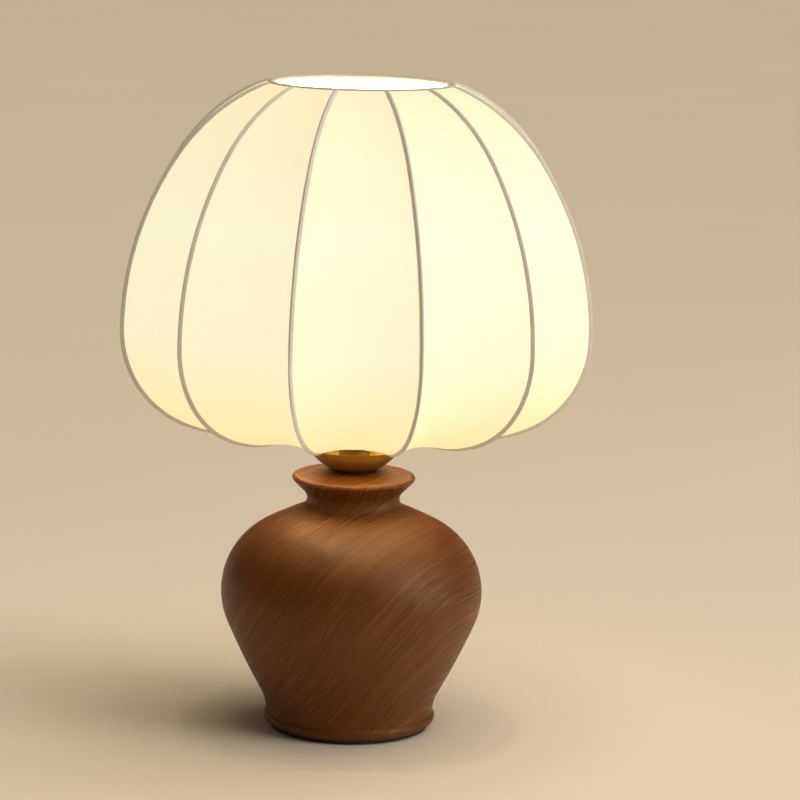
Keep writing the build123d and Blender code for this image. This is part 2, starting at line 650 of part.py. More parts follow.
with BuildPart() as bottom_ring:
    with BuildSketch(Plane.XZ):
        with Locations((bottom_ring_centre.X, bottom_ring_centre.Z)):
            Circle(RING_RADIUS)
    revolve(axis=Axis.Z)
save(bottom_ring.part, "bottom_ring")

# Fabric hems folded over the two rings
with BuildPart() as top_hem:
    with BuildSketch(Plane.XZ):
        with BuildLine():
            draw_ring_sector(
                (top_ring_centre.X, top_ring_centre.Z),
                RING_RADIUS + HEM_GAP,
                RING_RADIUS + HEM_GAP + HEM_THICKNESS,
                *TOP_HEM_SPAN,
            )
        make_face()
    revolve(axis=Axis.Z)
save(top_hem.part, "top_hem")

with BuildPart() as bottom_hem:
    with BuildSketch(Plane.XZ):
        with BuildLine():
            draw_ring_sector(
                (bottom_ring_centre.X, bottom_ring_centre.Z),
                RING_RADIUS + HEM_GAP,
                RING_RADIUS + HEM_GAP + HEM_THICKNESS,
                *BOTTOM_HEM_SPAN,
            )
        make_face()
    revolve(axis=Axis.Z)
save(bottom_hem.part, "bottom_hem")

# Fitter: a flat ring on the lampholder's shoulder, and the arms that carry the bottom ring
with BuildPart() as fitter_ring:
    with BuildSketch(Plane.XY.offset(fitter_bottom)):
        Circle(FITTER_RADIUS)
        Circle(FITTER_BORE, mode=Mode.SUBTRACT)
    extrude(amount=FITTER_THICKNESS)
save(fitter_ring.part, "fitter_ring")

arm_height = fitter_bottom + FITTER_THICKNESS / 2
with BuildPart() as fitter_arms:
    for number in range(ARM_COUNT):
        plane = radial_plane(ARM_FIRST + number * 360 / ARM_COUNT)
        with BuildLine(plane) as arm_line:
            FilletPolyline(
                (FITTER_RADIUS - ARM_OVERLAP, arm_height),
                (ARM_LEVEL_END, arm_height),
                (bottom_ring_centre.X, bottom_ring_centre.Z),
                radius=ARM_BEND,
            )
        with BuildSketch(Plane(arm_line.wire() @ 0, z_dir=arm_line.wire() % 0)):
            Circle(ARM_RADIUS)
        sweep(path=arm_line.wire())
    add(bottom_ring.part, mode=Mode.SUBTRACT)
    with BuildSketch(Plane.XY.offset(arm_height - 2 * ARM_RADIUS)):
        Circle(FITTER_RADIUS)
    extrude(amount=4 * ARM_RADIUS, mode=Mode.SUBTRACT)
save(fitter_arms.part, "fitter_arms")

# Ribs: wires from the top ring to the bottom ring
for number in range(RIB_COUNT):
    with BuildPart() as rib:
        with BuildLine(radial_plane(FIRST_RIB + number * RIB_PITCH)) as rib_line:
            draw_meridian(RIB_INSET)
        with BuildSketch(Plane(rib_line.wire() @ 0, z_dir=rib_line.wire() % 0)):
            Circle(RIB_RADIUS)
        sweep(path=rib_line.wire())
        add(top_ring.part, mode=Mode.SUBTRACT)
        add(bottom_ring.part, mode=Mode.SUBTRACT)
    save(rib.part, f"rib_{number + 1:02d}")

# Fabric panels: each is stretched level from one rib to the next, and stops short of both ribs
for number in range(RIB_COUNT):
    azimuth = FIRST_RIB + number * RIB_PITCH
    middle = radians(azimuth + RIB_PITCH / 2)
    chord = Vector(-sin(middle), cos(middle), 0)
    with BuildPart() as panel:
        with BuildSketch(radial_plane(azimuth)):
            with BuildLine():
                draw_strip(
                    FABRIC_INSET,
                    FABRIC_INSET + FABRIC_THICKNESS,
                    FABRIC_TRIM_TOP,
                    FABRIC_TRIM_BOTTOM,
                )
            make_face()
        extrude(amount=PANEL_REACH, dir=chord)
        with BuildSketch(Plane.XY.rotated((0, 0, azimuth + RIB_PITCH / 2))):
            with Locations((FABRIC_GAP / sin(HALF_PITCH), 0)):
                Polygon(
                    (0, 0),
                    (PANEL_REACH * 2, -PANEL_REACH * 2 * tan(HALF_PITCH)),
                    (PANEL_REACH * 2, PANEL_REACH * 2 * tan(HALF_PITCH)),
                    align=None,
                )
        extrude(amount=MERIDIAN_TOP[1], mode=Mode.INTERSECT)
    save(panel.part, f"panel_{number + 1:02d}")

# Tapes glued over the ribs, outside the fabric
with BuildPart() as rib_tapes:
    for number in range(RIB_COUNT):
        with BuildSketch(radial_plane(FIRST_RIB + number * RIB_PITCH)):
            with BuildLine():
                draw_strip(0, TAPE_THICKNESS, TAPE_TRIM, TAPE_TRIM)
            make_face()
    extrude(amount=TAPE_WIDTH / 2, both=True)
save(rib_tapes.part, "rib_tapes")
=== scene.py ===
"""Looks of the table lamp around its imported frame. Lengths in the shape code are millimetres."""

from math import cos, pi, radians, sin

import bpy
import numpy as np
from mathutils import Matrix, Vector


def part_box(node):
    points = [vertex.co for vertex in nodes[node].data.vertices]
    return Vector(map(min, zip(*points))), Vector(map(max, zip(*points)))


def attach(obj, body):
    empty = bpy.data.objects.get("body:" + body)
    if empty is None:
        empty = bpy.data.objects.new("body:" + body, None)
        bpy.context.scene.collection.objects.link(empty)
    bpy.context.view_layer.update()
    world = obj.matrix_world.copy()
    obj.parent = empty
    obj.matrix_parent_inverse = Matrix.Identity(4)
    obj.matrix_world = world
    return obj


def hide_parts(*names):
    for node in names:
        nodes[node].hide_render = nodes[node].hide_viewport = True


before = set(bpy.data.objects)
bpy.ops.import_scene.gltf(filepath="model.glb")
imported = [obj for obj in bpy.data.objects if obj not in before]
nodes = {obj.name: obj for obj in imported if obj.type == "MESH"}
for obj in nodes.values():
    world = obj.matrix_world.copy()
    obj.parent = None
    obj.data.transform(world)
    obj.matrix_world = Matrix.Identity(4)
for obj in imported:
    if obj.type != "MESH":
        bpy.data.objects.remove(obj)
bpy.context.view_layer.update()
scene = bpy.context.scene

MM = 0.001
RIB_COUNT = 12

# ---------------------------------------------------------------- camera

CAMERA_PLACE = (0.0, -1.7033, 0.4801)
CAMERA_LENS = 149.15
CAMERA_SENSOR = 36.0
CAMERA_REACH = 60.0
CAMERA_YAW = radians(-0.786)
CAMERA_PITCH = radians(10.158)
CAMERA_ROLL = radians(1.314)

camera_data = bpy.data.cameras.new("camera")
camera_data.sensor_width = CAMERA_SENSOR
camera_data.lens = CAMERA_LENS
camera_data.clip_end = CAMERA_REACH
camera = bpy.data.objects.new("camera", camera_data)
scene.collection.objects.link(camera)
camera.matrix_world = (
    Matrix.Translation(CAMERA_PLACE)
    @ Matrix.Rotation(CAMERA_YAW, 4, "Z")
    @ Matrix.Rotation(pi / 2 - CAMERA_PITCH, 4, "X")
    @ Matrix.Rotation(CAMERA_ROLL, 4, "Z")
)
scene.camera = camera
scene.view_settings.view_transform = "Standard"

# ---------------------------------------------------------------- node helpers


def new_material(name):
    """A new material, its node tree and its Principled node."""
    material = bpy.data.materials.new(name)
    material.use_nodes = True
    return material, material.node_tree, material.node_tree.nodes["Principled BSDF"]


def put(tree, kind, sockets=None, **settings):
    """Adds a node. sockets gives its inputs by name or number, as values or as outputs to link."""
    node = tree.nodes.new("ShaderNode" + kind)
    for key, value in settings.items():
        setattr(node, key, value)
    for key, value in (sockets or {}).items():
        if isinstance(value, bpy.types.NodeSocket):
            tree.links.new(value, node.inputs[key])
        else:
            node.inputs[key].default_value = value
    return node


def calc(tree, operation, a, b=0.0, c=0.0):
    """A Math node's result."""
    return put(tree, "Math", {0: a, 1: b, 2: c}, operation=operation).outputs[0]


def blend(tree, factor, a, b, mode="MIX"):
    """A colour Mix node's result."""
    colours = [value if isinstance(value, bpy.types.NodeSocket) else (*value, 1.0) for value in (a, b)]
    sockets = {0: factor, 6: colours[0], 7: colours[1]}
    return put(tree, "Mix", sockets, data_type="RGBA", blend_type=mode).outputs[2]


def ramp(tree, factor, *stops):
    """A colour ramp's result; each stop is a place and a grey or a colour."""
    node = put(tree, "ValToRGB", {"Fac": factor})
    elements = node.color_ramp.elements
    while len(elements) < len(stops):
        elements.new(1.0)
    for element, (position, colour) in zip(elements, stops):
        element.position = position
        element.color = (*colour, 1.0) if isinstance(colour, tuple) else (colour, colour, colour, 1.0)
    return node.outputs["Color"]


def place(tree):
    """Object coordinates, in metres."""
    return put(tree, "TexCoord").outputs["Object"]


def stretch(tree, vector, factors):
    """The vector with each part multiplied."""
    return put(tree, "VectorMath", {0: vector, 1: factors}, operation="MULTIPLY").outputs[0]


def noise(tree, vector, scale, detail=4.0, roughness=0.5):
    """A noise texture's grey value."""
    sockets = {"Vector": vector, "Scale": scale, "Detail": detail, "Roughness": roughness}
    return put(tree, "TexNoise", sockets).outputs["Fac"]


def bump(tree, shader, height, distance, strength=1.0):
    """Puts a bump of that height in metres on a shader."""
    node = put(tree, "Bump", {"Height": height, "Distance": distance, "Strength": strength})
    tree.links.new(node.outputs["Normal"], shader.inputs["Normal"])


def link(tree, output, shader, name):
    """Joins an output to one of a shader's inputs."""
    tree.links.new(output, shader.inputs[name])


def round_place(tree):
    """Coordinates around the lamp's axis: turn in radians, and height."""
    parts = put(tree, "SeparateXYZ", {0: place(tree)}).outputs
    return calc(tree, "ARCTAN2", parts[1], parts[0]), parts[2]


# ---------------------------------------------------------------- materials


def wood_material():
    """Dark turned wood whose growth layers cross the turning at a slant, under satin lacquer."""
    material, tree, shader = new_material("wood")
    layers = Vector((-1.15, 0.55, 1.0)).to_track_quat("X", "Z").inverted().to_euler()
    turned = put(tree, "Mapping", {"Vector": place(tree), "Rotation": layers}).outputs[0]
    sway = noise(tree, turned, 11.0, 1.0)
    sway = calc(tree, "MULTIPLY", calc(tree, "SUBTRACT", sway, 0.5), 0.020)
    ripple = noise(tree, turned, 85.0, 1.0)
    ripple = calc(tree, "MULTIPLY", calc(tree, "SUBTRACT", ripple, 0.5), 0.0010)
    shift = put(tree, "CombineXYZ", {0: calc(tree, "ADD", sway, ripple)}).outputs[0]
    grain = put(tree, "VectorMath", {0: turned, 1: shift}, operation="ADD").outputs[0]
    fine = noise(tree, stretch(tree, grain, (1350.0, 18.0, 18.0)), 1.0, 2.0, 0.45)
    bands = noise(tree, stretch(tree, grain, (240.0, 9.0, 9.0)), 1.0, 2.0, 0.5)
    threads = noise(tree, stretch(tree, grain, (1050.0, 30.0, 30.0)), 1.0, 1.0, 0.4)
    threads = ramp(tree, threads, (0.56, 0.0), (0.66, 1.0))
    patches = noise(tree, turned, 13.0, 2.0)
    pores = noise(tree, stretch(tree, grain, (1500.0, 55.0, 55.0)), 1.0, 2.0, 0.5)
    pores = ramp(tree, pores, (0.30, 1.0), (0.42, 0.0))
    tone = calc(tree, "MULTIPLY_ADD", fine, 0.70, calc(tree, "MULTIPLY", bands, 0.30))
    colour = ramp(
        tree,
        tone,
        (0.32, (0.088, 0.0215, 0.0016)),
        (0.50, (0.122, 0.0325, 0.0026)),
        (0.68, (0.172, 0.0500, 0.0052)),
    )
    red_share = ramp(tree, patches, (0.40, 0.0), (0.62, 0.4))
    reddish = blend(tree, red_share, colour, (0.94, 0.80, 0.80), "MULTIPLY")
    colour = blend(tree, calc(tree, "MULTIPLY", pores, 0.25), reddish, (0.040, 0.011, 0.002))
    colour = blend(tree, calc(tree, "MULTIPLY", threads, 0.15), colour, (0.36, 0.135, 0.034))
    link(tree, colour, shader, "Base Color")
    gloss = ramp(tree, fine, (0.3, 0.50), (0.7, 0.38))
    link(tree, gloss, shader, "Roughness")
    shader.inputs["Specular IOR Level"].default_value = 0.50
    shader.inputs["Specular Tint"].default_value = (1.0, 0.76, 0.48, 1.0)
    height = calc(tree, "SUBTRACT", fine, calc(tree, "MULTIPLY", pores, 0.3))
    height = calc(tree, "MULTIPLY_ADD", threads, 0.6, height)
    bump(tree, shader, height, 0.00040, 1.0)
    return material


def metal_material(name, colour, worn, rough, coarse, brushed=0.0):
    """A metal with cloudy patina, fine scratches and, where asked, turning lines."""
    material, tree, shader = new_material(name)
    where = place(tree)
    cloud = noise(tree, where, coarse, 5.0, 0.6)
    colour = blend(tree, ramp(tree, cloud, (0.35, 0.0), (0.72, 0.6)), colour, worn)
    link(tree, colour, shader, "Base Color")
    shader.inputs["Metallic"].default_value = 1.0
    fine = noise(tree, where, 900.0, 3.0)
    rough_value = calc(tree, "MULTIPLY_ADD", cloud, 0.22, rough - 0.11)
    link(tree, calc(tree, "MULTIPLY_ADD", fine, 0.08, rough_value), shader, "Roughness")
    height = fine
    if brushed:
        turning = noise(tree, stretch(tree, where, (8.0, 8.0, brushed)), 1.0, 2.0)
        height = calc(tree, "MULTIPLY_ADD", turning, 2.0, fine)
    bump(tree, shader, height, 0.00003, 0.7)
    return material


def plain_material(name, colour, other, rough, grain=700.0, relief=0.00004):
    """Plastic, rubber, paint or ceramic: two close tones, mottled gloss and a fine texture."""
    material, tree, shader = new_material(name)
    where = place(tree)
    link(tree, blend(tree, noise(tree, where, 45.0, 4.0), colour, other), shader, "Base Color")
    spots = noise(tree, where, grain, 3.0, 0.6)
    link(tree, calc(tree, "MULTIPLY_ADD", spots, 0.16, rough - 0.08), shader, "Roughness")
    bump(tree, shader, spots, relief, 0.8)
    return material


def weave(tree, threads):
    """Height of a plain weave with uneven threads, in coordinates around the lamp's axis."""
    turn, height = round_place(tree)
    wander = noise(tree, place(tree), 60.0, 2.0)
    across = calc(tree, "MULTIPLY_ADD", turn, 0.1 * threads, calc(tree, "MULTIPLY", wander, 3.0))
    along = calc(tree, "MULTIPLY_ADD", height, threads, calc(tree, "MULTIPLY", wander, -3.0))
    warp = calc(tree, "SINE", across)
    weft = calc(tree, "SINE", along)
    return calc(tree, "MULTIPLY", warp, weft)


SHADE_FOOT = 0.155
SHADE_RISE = 0.190


def fabric_material():
    """Thin cream fabric lit from inside, with a painted glow in its emission: warmer towards the bottom."""
    material, tree, shader = new_material("fabric")
    _, height = round_place(tree)
    where = place(tree)
    low = calc(tree, "DIVIDE", calc(tree, "SUBTRACT", height, SHADE_FOOT), SHADE_RISE)
    # Painted glow: emission colour by height, standing in for the bulb's light through the cloth
    glow = ramp(
        tree,
        low,
        (0.00, (0.98, 0.77, 0.345)),
        (0.10, (0.98, 0.84, 0.445)),
        (0.30, (0.975, 0.915, 0.615)),
        (0.62, (0.97, 0.925, 0.67)),
        (0.90, (0.94, 0.825, 0.515)),
        (1.00, (0.93, 0.765, 0.46)),
    )
    slubs = noise(tree, stretch(tree, where, (90.0, 90.0, 700.0)), 1.0, 3.0, 0.6)
    mottle = noise(tree, where, 22.0, 3.0)
    thread = weave(tree, 9000.0)
    shade = calc(tree, "MULTIPLY_ADD", slubs, 0.05, 0.945)
    shade = calc(tree, "MULTIPLY_ADD", mottle, 0.04, calc(tree, "SUBTRACT", shade, 0.02))
    shades = put(tree, "CombineXYZ", {0: shade, 1: shade, 2: shade}).outputs[0]
    glow = blend(tree, 1.0, glow, shades, "MULTIPLY")
    link(tree, glow, shader, "Emission Color")
    shader.inputs["Emission Strength"].default_value = 0.88
    cloth = blend(tree, slubs, (0.29, 0.265, 0.21), (0.32, 0.295, 0.24))
    link(tree, cloth, shader, "Base Color")
    shader.inputs["Roughness"].default_value = 0.85
    shader.inputs["Sheen Weight"].default_value = 0.05
    relief = calc(tree, "MULTIPLY_ADD", thread, 0.25, slubs)
    bump(tree, shader, relief, 0.00012, 0.6)
    through = put(tree, "BsdfTranslucent", {"Color": (1.0, 0.90, 0.70, 1.0)})
    both = put(tree, "MixShader", {0: 0.025, 1: shader.outputs[0], 2: through.outputs[0]})
    tree.links.new(both.outputs[0], tree.nodes["Material Output"].inputs["Surface"])
    return material


def tape_material(name, dark, light, glow):
    """Folded cotton tape: opaque taupe cloth with cross ribs, and a faint painted glow in its own colour for
    the light coming through.
    """
    material, tree, shader = new_material(name)
    where = place(tree)
    fibres = noise(tree, where, 1400.0, 3.0, 0.6)
    patches = noise(tree, where, 70.0, 3.0)
    tone = calc(tree, "MULTIPLY_ADD", fibres, 0.6, calc(tree, "MULTIPLY", patches, 0.4))
    colour = ramp(tree, tone, (0.30, dark), (0.70, light))
    link(tree, colour, shader, "Base Color")
    # Painted glow: the tape's own colour as a faint emission
    link(tree, colour, shader, "Emission Color")
    shader.inputs["Emission Strength"].default_value = glow
    shader.inputs["Roughness"].default_value = 0.8
    shader.inputs["Sheen Weight"].default_value = 0.25
    bump(tree, shader, calc(tree, "ADD", weave(tree, 7000.0), fibres), 0.00010, 0.7)
    return material


def globe_material():
    """Opal plastic of a lit LED bulb, its warm light slightly cloudy."""
    material, tree, shader = new_material("globe")
    cloud = noise(tree, place(tree), 40.0, 2.0)
    link(tree, blend(tree, cloud, (1.0, 0.82, 0.55), (1.0, 0.87, 0.62)), shader, "Emission Color")
    shader.inputs["Emission Strength"].default_value = 200.0
    shader.inputs["Base Color"].default_value = (0.9, 0.88, 0.83, 1.0)
    link(tree, calc(tree, "MULTIPLY_ADD", cloud, 0.1, 0.3), shader, "Roughness")
    return material


wood = wood_material()
fabric = fabric_material()
# The last number is each tape's painted glow strength
tape = tape_material("tape", (0.56, 0.51, 0.44), (0.74, 0.69, 0.61), 0.06)
binding = tape_material("binding", (0.46, 0.40, 0.31), (0.60, 0.53, 0.43), 0.10)
globe = globe_material()
antique = metal_material("antique_brass", (0.50, 0.33, 0.060), (0.24, 0.140, 0.022), 0.46, 55.0, 900.0)
satin_brass = metal_material("satin_brass", (0.60, 0.42, 0.17), (0.33, 0.21, 0.08), 0.30, 80.0, 1300.0)
bronze = metal_material("dark_bronze", (0.050, 0.028, 0.014), (0.020, 0.011, 0.006), 0.34, 90.0, 900.0)
zinc = metal_material("zinc", (0.55, 0.56, 0.58), (0.33, 0.33, 0.33), 0.34, 120.0)
nickel = metal_material("nickel", (0.62, 0.60, 0.56), (0.42, 0.40, 0.36), 0.24, 150.0)
solder = metal_material("solder", (0.50, 0.50, 0.50), (0.28, 0.28, 0.28), 0.42, 260.0)
iron = plain_material("cast_iron", (0.032, 0.031, 0.030), (0.060, 0.055, 0.050), 0.72, 420.0, 0.00035)
plate_paint = plain_material("plate_paint", (0.018, 0.018, 0.018), (0.030, 0.029, 0.028), 0.50, 900.0, 0.0001)
rubber = plain_material("pad_rubber", (0.012, 0.011, 0.010), (0.024, 0.022, 0.020), 0.82, 800.0, 0.00015)
grommet_rubber = plain_material("grommet_rubber", (0.010, 0.010, 0.010), (0.020, 0.019, 0.018), 0.45)
ceramic = plain_material("ceramic", (0.74, 0.72, 0.67), (0.66, 0.63, 0.57), 0.22, 300.0, 0.00005)
black_glass = plain_material("contact_glass", (0.010, 0.009, 0.012), (0.020, 0.016, 0.020), 0.16)
housing_plastic = plain_material("housing_plastic", (0.76, 0.75, 0.72), (0.70, 0.69, 0.66), 0.40)
led_board_paint = plain_material("led_board_paint", (0.80, 0.80, 0.78), (0.70, 0.71, 0.70), 0.35)
wire_paint = plain_material("wire_paint", (0.72, 0.68, 0.58), (0.62, 0.57, 0.46), 0.42, 500.0, 0.00008)

CAD_FINISHES = {
    "base_body": wood,
    "foot_pad": rubber,
    "bottom_plate": plate_paint,
    "bottom_plate_screws": zinc,
    "ballast_weight": iron,
    "weight_washer": zinc,
    "weight_nut": zinc,
    "cord_grommet": grommet_rubber,
    "threaded_tube": zinc,
    "neck_ring": bronze,
    "brass_cup": antique,
    "cup_nut": satin_brass,
    "holder_cap": satin_brass,
    "holder_skirt": satin_brass,
    "holder_insert": ceramic,
    "terminal_screws": nickel,
    "centre_contact": satin_brass,
    "screw_shell": nickel,
    "shade_ring": satin_brass,
    "bulb_contact": solder,
    "bulb_insulator": black_glass,
    "bulb_cap": nickel,
    "bulb_housing": housing_plastic,
    "bulb_led_board": led_board_paint,
    "bulb_globe": globe,
    "top_ring": wire_paint,
    "bottom_ring": wire_paint,
    "fitter_ring": wire_paint,
    "fitter_arms": wire_paint,
}
for number in range(RIB_COUNT):
    CAD_FINISHES[f"rib_{number + 1:02d}"] = wire_paint
for name, finish in CAD_FINISHES.items():
    slots = nodes[name].data.materials
    for index in range(len(slots)):
        slots[index] = finish

# ---------------------------------------------------------------- shade's lines

FIRST_RIB = 15.0
RIB_PITCH = 360 / RIB_COUNT
HALF_PITCH = radians(RIB_PITCH / 2)
MERIDIAN_TOP = (48.0, 341.5)
MERIDIAN_HEADING = radians(-19.3)
MERIDIAN_ARCS = ((97.8, 35.5), (160.3, 34.8), (54.7, 66.4), (82.7, 29.4))
WIRE_INSET = 3.586
RING_RADIUS = 1.5
CLOTH_THICKNESS = 0.42
# How far the cloth lies in from the shade's outer line, along the ribs and at the rings, and the
# share of the line over which it eases from one to the other
CLOTH_RIB_INSET = 1.35
CLOTH_RING_INSET = 1.84
RING_EASE = 0.015
ROWS = 121
COLUMNS = 29
SHARES = np.linspace(0, 1, ROWS)
NEAR_RING = np.exp(-np.minimum(SHARES, 1 - SHARES) / RING_EASE)
CLOTH_INSET = CLOTH_RIB_INSET + (CLOTH_RING_INSET - CLOTH_RIB_INSET) * NEAR_RING


def meridian(inset, shares):
    """Points and outward normals (radius, height) at shares of the way down the shade's line."""
    lengths = np.array([radius * radians(turn) for radius, turn in MERIDIAN_ARCS])
    ends = np.concatenate([[0], np.cumsum(lengths)])
    start, heading = np.array(MERIDIAN_TOP), MERIDIAN_HEADING
    points, normals = np.zeros((len(shares), 2)), np.zeros((len(shares), 2))
    travelled = np.asarray(shares) * ends[-1]
    inset = np.broadcast_to(inset, travelled.shape)
    for number, (radius, turn) in enumerate(MERIDIAN_ARCS):
        centre = start - radius * np.array([-sin(heading), cos(heading)])
        mine = travelled >= ends[number]
        angle = heading - (travelled[mine] - ends[number]) / lengths[number] * radians(turn)
        normals[mine] = np.stack([-np.sin(angle), np.cos(angle)], 1)
        points[mine] = centre + (radius - inset[mine])[:, None] * normals[mine]
        heading -= radians(turn)
        start = centre + radius * np.array([-sin(heading), cos(heading)])
    return points, normals


def around(points, azimuth):
    """Points (radius, height) at an azimuth, or at one azimuth each, as x, y, z."""
    points = np.asarray(points, float)
    return np.stack([points[..., 0] * np.cos(azimuth), points[..., 0] * np.sin(azimuth), points[..., 1]], -1)


def spin(points, azimuth):
    """Points turned about the lamp's axis."""
    c, s = cos(azimuth), sin(azimuth)
    return points @ np.array([[c, s, 0], [-s, c, 0], [0, 0, 1]])


def grid_normals(grid):
    """Unit normals of a grid of points."""
    normal = np.cross(np.gradient(grid, axis=1), np.gradient(grid, axis=0))
    return normal / np.linalg.norm(normal, axis=2, keepdims=True)


# ---------------------------------------------------------------- mesh helpers


def add_piece(name, points, faces, body, material):
    """A mesh piece on a body, from points in millimetres."""
    mesh = bpy.data.meshes.new(name)
    mesh.from_pydata((np.asarray(points) * MM).tolist(), [], faces)
    mesh.validate()
    mesh.materials.append(material)
    mesh.shade_smooth()
    piece = bpy.data.objects.new(name, mesh)
    scene.collection.objects.link(piece)
    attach(piece, body)
    return piece


def loft_faces(rows, columns, closed_rows=False):
    """Quads of a tube of rows, each row a closed ring of columns points; ends are capped."""
    faces = []
    for i in range(rows if closed_rows else rows - 1):
        a, b = i * columns, (i + 1) % rows * columns
        for j in range(columns):
            k = (j + 1) % columns
            faces.append((a + j, a + k, b + k, b + j))
    if not closed_rows:
        faces.append(tuple(reversed(range(columns))))
        faces.append(tuple((rows - 1) * columns + j for j in range(columns)))
    return faces


def shell_piece(name, grid, thickness, body, material):
    """A closed sheet of that thickness on both sides of a grid of points."""
    rows, columns = grid.shape[:2]
    offset = grid_normals(grid) * thickness / 2
    loops = np.concatenate([grid + offset, (grid - offset)[:, ::-1]], 1)
    faces = loft_faces(rows, 2 * columns)[:-2]
    for i in (0, rows - 1):
        row = [i * 2 * columns + j for j in range(2 * columns)]
        for j in range(columns - 1):
            quad = (row[j], row[j + 1], row[-2 - j], row[-1 - j])
            faces.append(quad[::-1] if i == 0 else quad)
    return add_piece(name, loops.reshape(-1, 3), faces, body, material)


RING_STEPS = 360


def swept_ring(name, centre, section, body, material):
    """A ring swept around the axis: section gives (radius, height) loops by azimuth."""
    angles = np.linspace(0, 2 * pi, RING_STEPS, endpoint=False)
    loops = np.stack([around(np.array(centre) + section(angle), angle) for angle in angles])
    faces = loft_faces(*loops.shape[:2], closed_rows=True)
    return add_piece(name, loops.reshape(-1, 3), faces, body, material)


# ---------------------------------------------------------------- shade: cloth, tapes and bindings


RELAXING_STEPS = 2500


def stretched_cloth(across_tension):
    """A gore between ribs at plus and minus half a pitch, relaxed as a membrane held on its edges."""
    line, _ = meridian(CLOTH_INSET, SHARES)
    angles = np.linspace(-HALF_PITCH, HALF_PITCH, COLUMNS)
    left, right = around(line, -HALF_PITCH), around(line, HALF_PITCH)
    share = (np.arange(COLUMNS) / (COLUMNS - 1))[None, :, None]
    grid = left[:, None] * (1 - share) + right[:, None] * share
    for row in (0, -1):
        grid[row] = around(np.broadcast_to(line[row], (COLUMNS, 2)), angles)
    down = np.linalg.norm(line[1] - line[0])
    across = np.linalg.norm(right - left, axis=1) / (COLUMNS - 1)
    level = (across_tension / across[1:-1] ** 2)[:, None, None]
    upright = 1 / down**2
    for _ in range(RELAXING_STEPS):
        sideways = level * (grid[1:-1, :-2] + grid[1:-1, 2:])
        lengthways = upright * (grid[:-2, 1:-1] + grid[2:, 1:-1])
        grid[1:-1, 1:-1] = (sideways + lengthways) / (2 * (level + upright))
    return grid


def pull_lines(grid, random):
    """Adds the small puckers along the sewn ribs and the folds gathered at the rings."""
    u = np.linspace(-1, 1, COLUMNS)[None, :]
    v = np.linspace(0, 1, ROWS)[:, None]
    height = np.zeros((ROWS, COLUMNS))
    for side in (-1, 1):
        edge = 1 - side * u
        for _ in range(7):
            waves, phase = random.uniform(14, 46), random.uniform(0, 2 * pi)
            size = random.uniform(0.02, 0.055)
            height += size * np.sin(waves * 2 * pi * v + phase) * np.exp(-edge / 0.22) * edge / 0.15
    for _ in range(9):
        where, width = random.uniform(-0.9, 0.9), random.uniform(0.05, 0.12)
        size, reach = random.uniform(-0.32, 0.20), random.uniform(0.035, 0.10)
        lean = random.uniform(-0.6, 0.6)
        fold = np.exp(-(((u - where - lean * (1 - v)) / width) ** 2)) * np.exp(-(1 - v) / reach)
        height += size * fold
    for _ in range(6):
        where, width = random.uniform(-0.9, 0.9), random.uniform(0.06, 0.14)
        size, reach = random.uniform(-0.16, 0.10), random.uniform(0.02, 0.05)
        height += size * np.exp(-(((u - where) / width) ** 2)) * np.exp(-v / reach)
    hold = np.minimum(1, (1 - np.abs(u)) / 0.10)
    for off_ring in (1 - v, v):
        hold = hold * np.minimum(1, off_ring / 0.012)
    return grid + grid_normals(grid) * (height * hold)[..., None]


random = np.random.default_rng(7)
gore_grids, gores = [], []
for number in range(RIB_COUNT):
    azimuth = radians(FIRST_RIB + (number + 0.5) * RIB_PITCH)
    grid = pull_lines(stretched_cloth(random.uniform(0.68, 0.80)), random)
    if grid_normals(grid)[ROWS // 2, COLUMNS // 2, 0] < 0:
        grid = grid[:, ::-1]
    grid = spin(grid, azimuth)
    gore = shell_piece(f"gore_{number + 1:02d}", grid, CLOTH_THICKNESS, "shade", fabric)
    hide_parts(f"panel_{number + 1:02d}")
    gore_grids.append(grid)
    gores.append(gore)


def from_rib(grid, at_left, distance):
    """Points on a gore at a distance along its rows from the rib at one side."""
    rows = grid if at_left else grid[:, ::-1]
    steps = np.linalg.norm(np.diff(rows, axis=1), axis=2)
    travelled = np.concatenate([np.zeros((ROWS, 1)), np.cumsum(steps, 1)], 1)
    found = np.zeros((ROWS, 3))
    for i in range(ROWS):
        for axis in range(3):
            found[i, axis] = np.interp(distance[i], travelled[i], rows[i, :, axis])
    return found


def side_at(grid, azimuth):
    """Whether a gore's first column lies on the rib at that azimuth."""
    middle = grid[ROWS // 2]
    aim = np.array([cos(azimuth), sin(azimuth)])
    return middle[0, :2] @ aim > middle[-1, :2] @ aim


TAPE_HALF_WIDTH = 1.40
TAPE_EDGE = 0.28
TAPE_SECTION = 15
TAPE_UNDERSIDE = 7
TAPE_TOP_TAPER = 0.028
TAPE_FOOT_TAPER = 0.16


def tape_loops(ridge, crest, sides, rise):
    """Loops across a tape: its crowned face, then its underside, which wraps down over the wire."""

    def base(t):
        """The line on the cloth at t, from -1 at one edge to 1 at the other."""
        return ridge + abs(t) * ((sides[0] if t < 0 else sides[1]) - ridge)

    loops = []
    for t in np.linspace(-1, 1, TAPE_SECTION):
        crown = TAPE_EDGE + (rise[:, None] - TAPE_EDGE) * (1 - abs(t) ** 2.0) ** 0.62
        loops.append(base(t) + crest * crown)
    for t in np.linspace(1, -1, TAPE_UNDERSIDE):
        loops.append(base(t) + crest * (0.05 - max(0.0, 1 - abs(t) / 0.6)))
    return np.stack(loops, 1)


